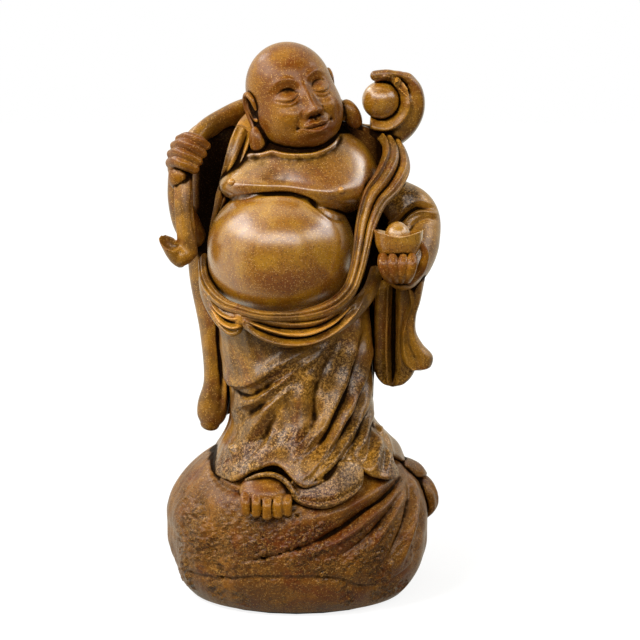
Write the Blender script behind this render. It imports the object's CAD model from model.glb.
"""A laughing buddha figurine in cold-cast bronze resin: the monk on his sack, casting by casting."""

import bpy
import numpy as np
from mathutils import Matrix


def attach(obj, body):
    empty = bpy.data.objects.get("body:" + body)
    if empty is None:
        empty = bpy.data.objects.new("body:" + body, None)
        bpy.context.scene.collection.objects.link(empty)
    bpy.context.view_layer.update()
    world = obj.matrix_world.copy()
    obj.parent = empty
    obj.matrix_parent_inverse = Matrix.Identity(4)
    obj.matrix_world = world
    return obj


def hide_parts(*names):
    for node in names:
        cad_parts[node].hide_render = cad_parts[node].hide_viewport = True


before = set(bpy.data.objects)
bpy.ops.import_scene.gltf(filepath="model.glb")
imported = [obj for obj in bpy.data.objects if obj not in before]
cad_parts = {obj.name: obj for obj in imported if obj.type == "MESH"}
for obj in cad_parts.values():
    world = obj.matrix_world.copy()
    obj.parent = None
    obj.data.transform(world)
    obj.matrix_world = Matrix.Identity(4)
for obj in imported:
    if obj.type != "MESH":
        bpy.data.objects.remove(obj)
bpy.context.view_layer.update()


# Felt pad. A disc of wool felt glued under the sack's flat foot, so that the resin doesn't scratch
# a shelf. The solid of the frame has its true shape and only gets its cloth here.
MM = 0.001


def linear(hex_colour):
    """An sRGB colour written as hex, turned to linear red, green, blue and alpha."""
    channels = np.array([hex_colour >> 16 & 255, hex_colour >> 8 & 255, hex_colour & 255]) / 255
    low, high = channels / 12.92, ((channels + 0.055) / 1.055) ** 2.4
    return (*np.where(channels <= 0.04045, low, high).tolist(), 1.0)


def add_node(tree, kind, inputs=None, **settings):
    """Adds a node with its settings; each input is a plain value or another node's output."""
    made = tree.nodes.new(kind)
    for name, value in settings.items():
        setattr(made, name, value)
    for socket, value in (inputs or {}).items():
        if isinstance(value, bpy.types.NodeSocket):
            tree.links.new(value, made.inputs[socket])
        else:
            made.inputs[socket].default_value = value
    return made


def new_material(name):
    """An empty material, its node tree, its shader, and the object's coordinates in millimetres."""
    made = bpy.data.materials.new(name)
    made.use_nodes = True
    tree = made.node_tree
    place = add_node(tree, "ShaderNodeTexCoord").outputs["Object"]
    scaled = add_node(tree, "ShaderNodeVectorMath", {0: place, 1: (1 / MM,) * 3}, operation="MULTIPLY")
    return made, tree, tree.nodes["Principled BSDF"], scaled.outputs["Vector"]


# Pressed wool felt: fibres about 0.4 mm apart scatter the light, so it has no gloss, only a soft sheen
FELT_FIBRE = 0.4
felt, tree, shader, place = new_material("pressed_wool_felt")
fibres = add_node(tree, "ShaderNodeTexNoise", {"Vector": place, "Scale": 1 / FELT_FIBRE, "Detail": 4.0})
inputs = {"Factor": fibres.outputs["Fac"], 6: linear(0x1C1815), 7: linear(0x3A332D)}
mixed = add_node(tree, "ShaderNodeMix", inputs, data_type="RGBA")
inputs = {"Height": fibres.outputs["Fac"], "Strength": 0.6, "Distance": 0.2 * MM}
raised = add_node(tree, "ShaderNodeBump", inputs)
tree.links.new(mixed.outputs[2], shader.inputs["Base Color"])
tree.links.new(raised.outputs["Normal"], shader.inputs["Normal"])
shader.inputs["Roughness"].default_value = 0.95
shader.inputs["Sheen Weight"].default_value = 0.3
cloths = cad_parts["felt_pad"].data.materials
cloths.clear()
cloths.append(felt)


# The bronze finishes. Every casting is resin filled with bronze powder: poured, buffed, then washed
# with dark wax that stays in the hollows. Flesh is buffed brighter; the back of the robe stays dark.
GOLD, LIP, FLAKE, PORE, WAX = 0xC4862C, 0xC8964A, 0xF0BC68, 0x2E1403, 0x130702
FLAKE_STEP = 0.44


def cold_cast_bronze(name, body, warm, ruddy, roughness, gloss):
    """Resin with bronze powder: brown body, warmer and ruddier drifts, bright flakes, dark wax where
    the surface is hollow, worn gold where it is sharp, and a stippled ground where it was tooled. A
    clear coat of polish lies over it, as thick as its gloss says, and thin over the wax."""
    made, tree, shader, place = new_material(name)

    def noise(size, detail=3.0, rough=0.55, warp=0.0):
        """Cloudy noise between 0 and 1, whose lumps are about the size in millimetres."""
        inputs = {"Vector": place, "Scale": 1 / size, "Detail": detail}
        inputs |= {"Roughness": rough, "Distortion": warp}
        return add_node(tree, "ShaderNodeTexNoise", inputs).outputs["Fac"]

    def ramp(value, low, high, bottom=0.0, top=1.0):
        """Bottom where the value is low, top where it is high, and a smooth S between."""
        inputs = {"Value": value, "From Min": low, "From Max": high, "To Min": bottom, "To Max": top}
        smooth = add_node(tree, "ShaderNodeMapRange", inputs, interpolation_type="SMOOTHSTEP")
        return smooth.outputs["Result"]

    def combine(operation, a, b):
        """One step of arithmetic on two values."""
        return add_node(tree, "ShaderNodeMath", {0: a, 1: b}, operation=operation).outputs["Value"]

    def times(a, b):
        """One value times another."""
        return combine("MULTIPLY", a, b)

    def blend(factor, low, high):
        """The colour low, turned into the hex colour high as the factor goes from 0 to 1."""
        inputs = {"Factor": factor, 6: low, 7: linear(high)}
        return add_node(tree, "ShaderNodeMix", inputs, data_type="RGBA").outputs[2]

    names = ("hollow", "worn", "tooled", "pitted", "reddened")
    fields = [add_node(tree, "ShaderNodeAttribute", attribute_name=field) for field in names]
    hollow, worn, tooled, pitted, reddened = [field.outputs["Fac"] for field in fields]
    # broad drifts of colour, 8 to 20 mm across
    colour = blend(ramp(noise(11.0, 4.0), 0.42, 0.6), linear(body), warm)
    colour = blend(ramp(noise(15.0, 3.0, 0.6, 1.0), 0.46, 0.72, 0.0, 0.8), colour, ruddy)
    # patches where the wash was red, with a ragged edge
    ragged = times(combine("SUBTRACT", noise(3.0, 5.0, 0.7), 0.5), 1.2)
    patchy = ramp(combine("ADD", reddened, ragged), 0.1, 1.0)
    colour = blend(times(patchy, ramp(reddened, 0.0, 0.3)), colour, ruddy)
    # grain of the powder, 0.5 mm
    grain = noise(0.5, 3.0, 0.7)
    colour = blend(ramp(grain, 0.35, 0.62, 0.0, 0.3), colour, PORE)
    # worn gold on the sharp edges
    colour = blend(ramp(worn, 0.06, 0.45, 0.0, 0.85), colour, GOLD)
    # stippled ground: worm-like dents of 0.8 mm, in patches
    worms = noise(0.8, 1.5, 0.5, 0.8)
    dents = times(ramp(worms, 0.5, 0.44), tooled)
    crests = times(ramp(worms, 0.52, 0.6), tooled)
    colour = blend(times(crests, 0.3), colour, LIP)
    # chips of 2 mm with raised lips and pits of 0.9 mm, in clusters
    cluster = times(ramp(noise(9.0, 2.0), 0.4, 0.52), pitted)
    chips = noise(2.0, 2.5, 0.6, 1.2)
    pits = ramp(noise(0.9, 1.0), 0.4, 0.34)
    chipped = times(combine("MAXIMUM", ramp(chips, 0.49, 0.42), pits), cluster)
    lips = times(times(ramp(chips, 0.49, 0.53), ramp(chips, 0.6, 0.54)), cluster)
    colour = blend(times(lips, 0.4), colour, LIP)
    # dark wax in the hollows and dents, its edge broken up by smears
    smears = combine("ADD", noise(2.5, 4.0, 0.65), noise(8.0, 3.0))
    soaked = combine("ADD", hollow, times(combine("SUBTRACT", smears, 1.0), 0.4))
    filled = combine("MAXIMUM", times(dents, 0.62), times(chipped, 0.35))
    wax = combine("MAXIMUM", ramp(soaked, 0.14, 0.54), filled)
    colour = blend(wax, colour, WAX)
    # dark specks of wax in the pores, and bright flakes of powder set wide enough apart to show
    inputs = {"Vector": place, "Scale": 1 / FLAKE_STEP, "Randomness": 1.0}
    cells = add_node(tree, "ShaderNodeTexVoronoi", inputs)
    pick = add_node(tree, "ShaderNodeSeparateColor", {"Color": cells.outputs["Color"]}).outputs["Red"]
    spot = ramp(cells.outputs["Distance"], 0.46, 0.24)
    colour = blend(times(spot, ramp(pick, 0.34, 0.3, 0.0, 0.75)), colour, PORE)
    shine = min(gloss, 0.4)
    flake = times(times(spot, ramp(pick, 0.66, 0.76)), ramp(wax, 0.7, 0.2, 0.04, 0.2 + shine))
    colour = blend(flake, colour, FLAKE)
    # the polish over it, and the relief that dents, chips and grain give the light
    dull = ramp(wax, 0.0, 1.0, roughness, roughness + 0.25)
    dull = combine("ADD", dull, times(combine("SUBTRACT", grain, 0.5), 0.22))
    height = combine("ADD", times(grain, 0.05), times(lips, 0.25))
    height = combine("SUBTRACT", height, times(combine("MAXIMUM", dents, chipped), 0.55))
    bump = add_node(tree, "ShaderNodeBump", {"Height": height, "Strength": 1.0, "Distance": MM})
    linked = {
        "Base Color": colour,
        "Metallic": ramp(flake, 0.0, 1.0, 0.0, 0.5),
        "Coat Weight": ramp(wax, 0.1, 0.9, gloss, 0.0),
        "Specular IOR Level": ramp(wax, 0.1, 0.9, 0.06 + 0.4 * shine, 0.05),
        "Roughness": dull,
        "Normal": bump.outputs["Normal"],
    }
    for socket, value in linked.items():
        tree.links.new(value, shader.inputs[socket])
    shader.inputs["Coat Roughness"].default_value = roughness
    shader.inputs["Coat IOR"].default_value = 2.1
    shader.inputs["Specular Tint"].default_value = linear(0xFFDCA8)
    return made


# Brown bronze resin as it comes from the wash, for cloth: satin, stippled in places
waxed_bronze = cold_cast_bronze("waxed_bronze_resin", 0x724A0D, 0xA26E14, 0x6E3206, 0.3, 0.4)
# The same resin with more red oxide in the wash, for the sack
ruddy_bronze = cold_cast_bronze("ruddy_bronze_resin", 0x6A3E0B, 0x845210, 0x642A05, 0.32, 0.2)
# The same resin buffed hard with a cloth, for belly, ingot and pearl: it takes a soft gloss
buffed_bronze = cold_cast_bronze("buffed_bronze_resin", 0x9C640B, 0xB07A10, 0x7C420A, 0.27, 1.0)
# The same resin wiped by hand, for head, hands and foot: browner, with less polish
wiped_bronze = cold_cast_bronze("wiped_bronze_resin", 0x7A4409, 0x96600B, 0x6C3205, 0.28, 0.24)
# The same resin left under its wax, for the parts behind: it swallows most of the light
dark_bronze = cold_cast_bronze("dark_bronze_resin", 0x502C0A, 0x6A4010, 0x4A2004, 0.4, 0.08)


# Treasure sack. The lowest casting: a bag of cloth, square-shouldered and slumped on its flat foot.
# Folds run from its mouth at the right, and the resin is chipped and pitted to look old. The lower
# robe is glued on its top by a round peg.
SACK_TOP = 57.0
SACK_WIDEST = 23.0
SACK_BELOW_WIDEST = 33.0
SACK_SQUARENESS = 2.4
SACK_HALF_WIDTH = 47.6
SACK_HALF_DEPTH = 44.0
SACK_LIMIT = 47.4
MOUTH = np.array([42.84, 6.0, 37.96])


def smooth_step(low, high, value):
    """0 below low, 1 above high, and a smooth S between."""
    t = np.clip((value - low) / (high - low), 0, 1)
    return t * t * (3 - 2 * t)


def through(knots, values, where):
    """Values at the given places of the smooth curve through the knots: a cubic on each span."""
    knots, values = np.asarray(knots, float), np.asarray(values, float)
    slopes = np.gradient(values, knots, axis=0)
    where = np.clip(where, knots[0], knots[-1])
    i = np.clip(np.searchsorted(knots, where, side="right") - 1, 0, len(knots) - 2)
    span = (knots[i + 1] - knots[i])[..., None]
    t = (where - knots[i])[..., None] / span
    held = (2 * t**3 - 3 * t**2 + 1) * values[i] + (3 * t**2 - 2 * t**3) * values[i + 1]
    return held + span * ((t**3 - 2 * t**2 + t) * slopes[i] + (t**3 - t**2) * slopes[i + 1])


def smooth_line(stops, count):
    """Evenly timed points on the smooth curve through the stops."""
    stops = np.asarray(stops, float)
    steps = np.linalg.norm(np.diff(stops[:, :3], axis=0), axis=1) ** 0.5
    knots = np.concatenate([[0], np.cumsum(steps)])
    return through(knots, stops, np.linspace(0, knots[-1], count))


def oval(angle, sizes, power=2.2):
    """Radius of a four-sided oval with its own half size to the right, back, left and front."""
    right, back, left, front = sizes
    across = np.abs(np.cos(angle)) / np.where(np.cos(angle) > 0, right, left)
    along = np.abs(np.sin(angle)) / np.where(np.sin(angle) > 0, back, front)
    return (across**power + along**power) ** (-1 / power)


def ring_angles(sides, focus, strength):
    """Angles round an upright axis, drawn together towards the focus."""
    turn = 2 * np.pi * np.arange(sides) / sides
    return turn + focus - strength * np.sin(turn)


def round_axis(radius, angles, levels, y=0.0):
    """Points at a radius and angle round an upright axis, x and y, and at a level."""
    return np.stack([radius * np.cos(angles), y + radius * np.sin(angles), levels], -1)


def skin(rings):
    """Points and faces of the closed skin over rings of points, with a middle point at each end."""
    rows, sides = rings.shape[:2]
    i, j = np.meshgrid(np.arange(rows - 1), np.arange(sides), indexing="ij")
    a, b = i * sides + j, i * sides + (j + 1) % sides
    walls = np.stack([a, b, b + sides, a + sides], -1).reshape(-1, 4)
    k = np.arange(sides)
    first, top = rows * sides, (rows - 1) * sides
    none = np.full(sides, -1)
    low = np.stack([np.full(sides, first), (k + 1) % sides, k, none], -1)
    high = np.stack([np.full(sides, first + 1), top + k, top + (k + 1) % sides, none], -1)
    points = np.concatenate([rings.reshape(-1, 3), [rings[0].mean(0), rings[-1].mean(0)]])
    return points, np.concatenate([walls, low, high])


def triangles(faces):
    """Faces of three or four corners as triangles; a fourth corner of -1 is none."""
    four = faces[faces[:, 3] >= 0]
    return np.concatenate([faces[:, :3], four[:, [0, 2, 3]]])


def turned_out(points, faces):
    """The faces, turned round if they look inwards: a closed skin that looks out has volume above 0."""
    corners = points[triangles(faces)]
    volume = np.einsum("ij,ij->i", corners[:, 0], np.cross(corners[:, 1], corners[:, 2])).sum()
    if volume > 0:
        return faces
    return np.where(faces[:, 3:] >= 0, faces[:, ::-1], faces[:, [2, 1, 0, 3]])


def normals_of(points, faces):
    """Unit outward normals at the points: the area-weighted mean of the faces that meet there."""
    tris = triangles(turned_out(points, faces))
    a, b, c = points[tris[:, 0]], points[tris[:, 1]], points[tris[:, 2]]
    facing = np.cross(b - a, c - a)
    total = np.stack(
        [sum(np.bincount(tris[:, k], facing[:, n], len(points)) for k in range(3)) for n in range(3)], 1
    )
    return total / np.maximum(np.linalg.norm(total, axis=1, keepdims=True), 1e-12)


def relief(places, strokes):
    """Height at places of a flat view. A stroke is (height, width, lean, line): a ridge, or a crease
    if its height is negative, whose side falls as a bell of the distance from a smooth line. It
    fades at both ends, and lean makes the left of the line steeper, or the right if negative."""
    total = np.zeros(len(places))
    for height, width, lean, line in strokes:
        path = smooth_line(np.array([(x, z, 0) for x, z in line], float), 4 * len(line))[:, :2]
        reach = 3.2 * width * (1 + abs(lean))
        near = np.all((places > path.min(0) - reach) & (places < path.max(0) + reach), axis=1)
        start, step = path[:-1], np.diff(path, axis=0)
        away = places[near][:, None] - start
        t = np.clip((away * step).sum(-1) / (step**2).sum(-1), 0, 1)
        gap = away - t[..., None] * step
        span = (gap**2).sum(-1)
        nearest = span.argmin(1)
        pick = (np.arange(len(nearest)), nearest)
        side = np.sign(step[nearest, 0] * gap[pick][:, 1] - step[nearest, 1] * gap[pick][:, 0])
        along = (nearest + t[pick]) / len(step)
        fade = np.sqrt(np.sin(np.pi * (0.03 + 0.94 * along)))
        total[near] += height * fade * np.exp(-span[pick] / (width * (1 - lean * side)) ** 2)
    return total


def carved(points, faces, strokes, side=-1.0):
    """The skin pushed along its normals by the strokes of its front view, or of its back with side 1."""
    normals = normals_of(points, faces)
    seen = smooth_step(-0.05, 0.3, side * normals[:, 1])
    height = relief(points[:, [0, 2]], strokes) * seen
    return points + normals * height[:, None]


def patch(points, centre, sizes):
    """1 at a place and less away from it, as a bell with its own size each way."""
    return np.exp(-(((points - centre) / sizes) ** 2).sum(1))


def swell(points, size, seed):
    """A soft irregular swell of height 1: waves of about the given length in seeded directions."""
    chance = np.random.default_rng(seed)
    waves = chance.normal(size=(6, 3)) * 2 * np.pi / size / 1.7
    return np.sin(points @ waves.T + chance.uniform(0, 6.3, 6)).sum(1) / 3.5


def add_field(mesh, label, field):
    """Gives a mesh a number for each of its points, for its material to read."""
    made = mesh.attributes.new(label, "FLOAT", "POINT")
    made.data.foreach_set("value", field.astype(np.float32))


castings = []


def add_casting(name, points, faces, material, slot, caked=0.0, **marks):
    """Makes the casting that stands for the CAD node of its name, from points in millimetres. Caked
    says where wax was never wiped off. Of the marks, tooled says where it is stippled, pitted where
    it is chipped, and reddened where the wash was red."""
    faces = turned_out(points, faces)
    mesh = bpy.data.meshes.new(name)
    counts = 3 + (faces[:, 3] >= 0)
    corners = faces[faces >= 0]
    mesh.vertices.add(len(points))
    mesh.vertices.foreach_set("co", (points * MM).astype(np.float32).ravel())
    mesh.loops.add(len(corners))
    mesh.loops.foreach_set("vertex_index", corners.astype(np.int32))
    mesh.polygons.add(len(faces))
    starts = np.concatenate([[0], np.cumsum(counts)[:-1]])
    mesh.polygons.foreach_set("loop_start", starts.astype(np.int32))
    mesh.update(calc_edges=True)
    mesh.shade_smooth()
    for label in ("tooled", "pitted", "reddened"):
        field = marks.get(label, 0.0) + np.zeros(len(points))
        add_field(mesh, label, field)
    mesh.materials.append(material)
    piece = bpy.data.objects.new(name + "_casting", mesh)
    bpy.context.scene.collection.objects.link(piece)
    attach(piece, "root")
    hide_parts(name)
    castings.append((mesh, points, faces, caked))


SACK_STROKES = [
    (-2.6, 1.3, 0.3, [(39, 45.5), (36, 44), (30.4, 40.5), (24.7, 38), (19.2, 34.8), (14.2, 31.6), (8, 28.6)]),
    (-1.2, 0.9, 0.3, [(14, 32), (5.4, 27.9), (-4.5, 24.6), (-13, 22), (-20, 21)]),
    (1.7, 2.4, 0, [(37, 47), (31, 44), (24, 41.5), (15, 38.5), (4, 36)]),
    (1.4, 1.3, 0, [(38, 42.8), (31, 38), (25, 35), (19, 31), (12, 27.5), (2, 24)]),
    (-1.5, 1.1, 0, [(37.5, 41), (32, 35.6), (27.5, 31.5), (22, 27), (15, 23)]),
    (1.3, 1.4, 0, [(39, 41), (34.6, 35.6), (30, 29.5), (25, 23.5)]),
    (-2.3, 1.3, 0.2, [(39.6, 44), (41, 38.5), (39, 31.5), (35.4, 24.5), (32, 19)]),
    (1.7, 1.3, 0, [(41.6, 43), (43, 37), (41.6, 30), (38.6, 22.5), (36, 16)]),
    (-2.2, 1.2, 0, [(43.4, 42), (45.2, 36), (44.8, 27), (42, 17.5)]),
    (-0.9, 1, 0.4, [(-41, 12), (-38.5, 12.3), (-26.3, 13.6), (-13.4, 15.6), (-0.2, 15.7), (13, 15.8)]),
    (-0.9, 1, 0.4, [(8, 16), (16, 14.4), (22.4, 11), (32.6, 11), (40.2, 14.4), (44, 18)]),
    (-2.4, 3.6, 0, [(-49, 26), (-45, 22), (-46, 14), (-44, 8)]),
    (-1.1, 2.2, 0, [(-36, 40), (-28, 31), (-30, 20), (-24, 13)]),
    (0.9, 2.6, 0, [(-40, 33), (-34, 26), (-35, 16)]),
    (-0.9, 1, 0.3, [(-29.5, 55), (-29.6, 51), (-28.6, 47.6), (-25, 45), (-19, 44), (-14, 43.4)]),
]
SACK_BACK_STROKES = [
    (2, 4.2, 0, [(41, 43), (28, 39), (14, 36), (-1, 35.4), (-16, 35)]),
    (-1.6, 4, 0, [(41, 35), (31, 28), (20, 21), (8, 17), (-4, 15)]),
    (-1.6, 4, 0, [(-44, 32), (-33, 28), (-22, 23), (-11, 17), (0, 9)]),
    (-1, 1.2, 0.2, [(41, 39), (30, 33), (14, 28), (-6, 26)]),
    (0.8, 1.6, 0, [(42, 34), (37, 22), (28, 10)]),
]
FOOT_EDGE = 1.2
angles = ring_angles(420, -0.4 * np.pi, 0.4)
levels = FOOT_EDGE + (SACK_TOP - 1.4) * np.sin(np.linspace(0, 1, 220) * np.pi / 2) ** 1.15
above, below = (levels - SACK_WIDEST) / (SACK_TOP - SACK_WIDEST), (SACK_WIDEST - levels) / SACK_BELOW_WIDEST
height = np.where(levels > SACK_WIDEST, above, below)
width = SACK_HALF_WIDTH * np.maximum(0, 1 - height**SACK_SQUARENESS) ** (1 / SACK_SQUARENESS)
width = width[:, None]
depth = width * SACK_HALF_DEPTH / SACK_HALF_WIDTH
radius = oval(angles, (width, depth, width, depth), 2.1)
levels = np.broadcast_to(levels[:, None], radius.shape)
points, faces = skin(round_axis(radius, angles, levels))
off_the_foot = smooth_step(FOOT_EDGE, 7, points[:, 2])
plain = points
points = carved(points, faces, SACK_STROKES)
points = carved(points, faces, SACK_BACK_STROKES, side=1.0)
normals = normals_of(points, faces)
sagging = 0.45 * swell(points, 14, 1) + 0.2 * swell(points, 6, 2)
points = points + normals * (off_the_foot * sagging)[:, None]
# chips 2 to 4 mm long are knocked out of the front in clusters, but not in the folds at the right;
# where the grit runs high the skin is pushed up as a lip, and where it runs low it is pitted
x, y, z = points.T
chipped = smooth_step(-0.2, 0.4, swell(points, 22, 3)) + 0.8 * np.exp(-(((z - 27) / 11) ** 2))
chipped = chipped * smooth_step(0.7, 0.2, np.linalg.norm(points - plain, axis=1) * (x > 2))
chipped = chipped * (0.3 + 0.7 * smooth_step(5, -20, y))
chipped = np.minimum(1, chipped) * smooth_step(46, 38, z) * smooth_step(46, 38, np.abs(x)) * off_the_foot
grit = swell(points * (1, 1, 1.5), 4.0, 5) + 0.5 * swell(points, 1.9, 6)
lips = 0.8 * smooth_step(0.45, 0.62, grit) * smooth_step(1.3, 0.8, grit)
chips = lips - 0.55 * smooth_step(-0.62, -0.84, grit)
points = points + normals * (chipped * chips)[:, None]
# no lip stands out past the widest place of the sack's solid
points[:, :2] *= np.minimum(1, SACK_LIMIT / np.maximum(1, np.abs(points[:, :1])))
# the wash is reddest on the brow of the sack, under the foot
marks = {"pitted": 0.2 + 0.6 * chipped, "reddened": 0.8 * patch(points, (6, -42, 30), (30, 22, 9))}
add_casting("sack", points, faces, ruddy_bronze, "antiqued_bronze", -0.08, **marks)


# Mouth of the sack. The neck of the bag, gathered and turned over, with a small flap above it; it is
# cast by itself and glued on its peg in the sack's right flank.
def placed(origin, rows):
    """Rows of x, y, z and sizes as numbers, with the origin added to x, y and z."""
    rows = np.array(rows, float)
    rows[:, :3] += origin
    return rows


def carried(stops, steps, sides, face, power=2.0, shape=None, ends=5):
    """Rings of an oval carried along a smooth path. A stop is x, y, z, half width, half thickness.
    The width lies across the path and the way the face looks, and both ends are rounded over."""
    path = smooth_line(stops, steps + 1)
    ahead = np.gradient(path[:, :3], axis=0)
    ahead /= np.linalg.norm(ahead, axis=1, keepdims=True)
    turns = np.linspace(np.pi / 2, 0, ends, endpoint=False)
    middle = path[:, :3]
    first = [middle[0] - ahead[0] * path[0, 4] * np.sin(t) * 0.9 for t in turns]
    last = [middle[-1] + ahead[-1] * path[-1, 4] * np.sin(t) * 0.9 for t in turns[::-1]]
    shrink = np.concatenate([np.cos(turns), np.ones(len(path)), np.cos(turns[::-1])])
    shrink = np.maximum(shrink, 0.02)
    middle = np.concatenate([first, middle, last])
    ahead = np.concatenate([[ahead[0]] * ends, ahead, [ahead[-1]] * ends])
    size = np.concatenate([[path[0, 3:5]] * ends, path[:, 3:5], [path[-1, 3:5]] * ends]) * shrink[:, None]
    looks = face(middle) if callable(face) else np.broadcast_to(np.asarray(face, float), middle.shape)
    across = np.cross(ahead, looks)
    across /= np.linalg.norm(across, axis=1, keepdims=True)
    out = np.cross(across, ahead)
    turn = 2 * np.pi * np.arange(sides) / sides
    wide, thick = size[:, :1], size[:, 1:2]
    radius = oval(turn, (wide, thick, wide, thick), power)
    along = np.clip((np.arange(len(middle)) - ends) / steps, 0, 1)[:, None]
    swollen = 1 if shape is None else shape(turn[None, :], along)
    x = (radius * np.cos(turn))[..., None] * across[:, None]
    y = (radius * swollen * np.sin(turn))[..., None] * out[:, None]
    return middle[:, None] + x + y


def joined(*skins):
    """Several closed skins as one set of points and faces."""
    offsets = np.cumsum([0] + [len(points) for points, _ in skins[:-1]])
    faces = [np.where(f >= 0, f + shift, -1) for (p, f), shift in zip(skins, offsets)]
    return np.concatenate([points for points, _ in skins]), np.concatenate(faces)


def softened(points, tris, rounds, strength=0.5):
    """Each point drawn towards the mean of its neighbours, over and over."""
    start, end = np.concatenate([tris[:, [0, 1]], tris[:, [1, 2]], tris[:, [2, 0]]]).T
    count = np.maximum(np.bincount(start, minlength=len(points)), 1)
    for _ in range(rounds):
        mean = np.stack([np.bincount(start, column[end], len(points)) / count for column in points.T], 1)
        points = points + strength * (mean - points)
    return points


def fused(skins, voxel, rounds):
    """Overlapping closed skins melted into one, on a grid of the given size, and smoothed."""
    points, faces = joined(*[(p, turned_out(p, f)) for p, f in skins])
    mesh = bpy.data.meshes.new("melt")
    mesh.from_pydata((points * MM).tolist(), [], triangles(faces).tolist())
    body = bpy.data.objects.new("melt", mesh)
    bpy.context.scene.collection.objects.link(body)
    remesh = body.modifiers.new("melt", "REMESH")
    remesh.mode = "VOXEL"
    remesh.voxel_size = voxel * MM
    made = body.evaluated_get(bpy.context.evaluated_depsgraph_get()).to_mesh()
    made.calc_loop_triangles()
    points = np.zeros(len(made.vertices) * 3, np.float32)
    made.vertices.foreach_get("co", points)
    corners = np.zeros(len(made.loop_triangles) * 3, np.int32)
    made.loop_triangles.foreach_get("vertices", corners)
    bpy.data.objects.remove(body)
    bpy.data.meshes.remove(mesh)
    tris = corners.reshape(-1, 3)
    points = softened(points.reshape(-1, 3).astype(float) * (1 / MM), tris, rounds)
    return points, np.concatenate([tris, np.full((len(tris), 1), -1)], axis=1)


def gathered(turn, along):
    """A section that swells in five ribs, deeper towards the far end of its path."""
    return 1 + 0.3 * (0.3 + 0.7 * along) * np.cos(5 * turn + 0.6)


lip = [
    (-2, 0, 0.5, 3.4, 3), (2.8, 1, -0.5, 4, 2.8), (5.6, 1.6, -4, 5.8, 2.6), (6.4, 2.4, -8.6, 6.4, 2.2),
    (4.4, 3, -12.4, 4.4, 1.7),
]
flap = [(-4.6, -7, 8.6, 3.2, 1.8), (-1.4, -4, 6.4, 4.2, 2.2), (1.6, -2, 4.8, 3.4, 2), (3.8, 0, 3.2, 1.6, 1)]
hung = skin(carried(placed(MOUTH, lip), 60, 64, (1, 0, 0.3), shape=gathered))
raised = skin(carried(placed(MOUTH, flap), 40, 48, (0.7, -0.2, 0.7)))
points, faces = fused([hung, raised], 0.4, 2)
add_casting("sack_mouth", points, faces, ruddy_bronze, "antiqued_bronze", pitted=0.5)


# Lower robe. A bell of heavy cloth that stands over the top of the sack, glued there by a round peg.
# Folds fall from the hips, swing across the left leg and break at the hem. Its ground is stippled
# with a punch, to look like woven stuff.
WAIST = 104.0
ABOVE_WAIST = (0, 0, WAIST)
SKIRT_Y = -2.0
SKIRT_LEVELS = WAIST + np.array([-62.0, -56, -50, -42, -32, -18, 0])
SKIRT_SIZES = [
    (41, 31, 34, 39), (38.5, 29, 32, 38), (35.5, 27, 28.5, 35), (28.5, 24, 24.5, 30.5), (27, 23.5, 24, 27.5),
    (27, 23, 27, 25.5), (26, 22, 28.5, 24),
]
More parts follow.
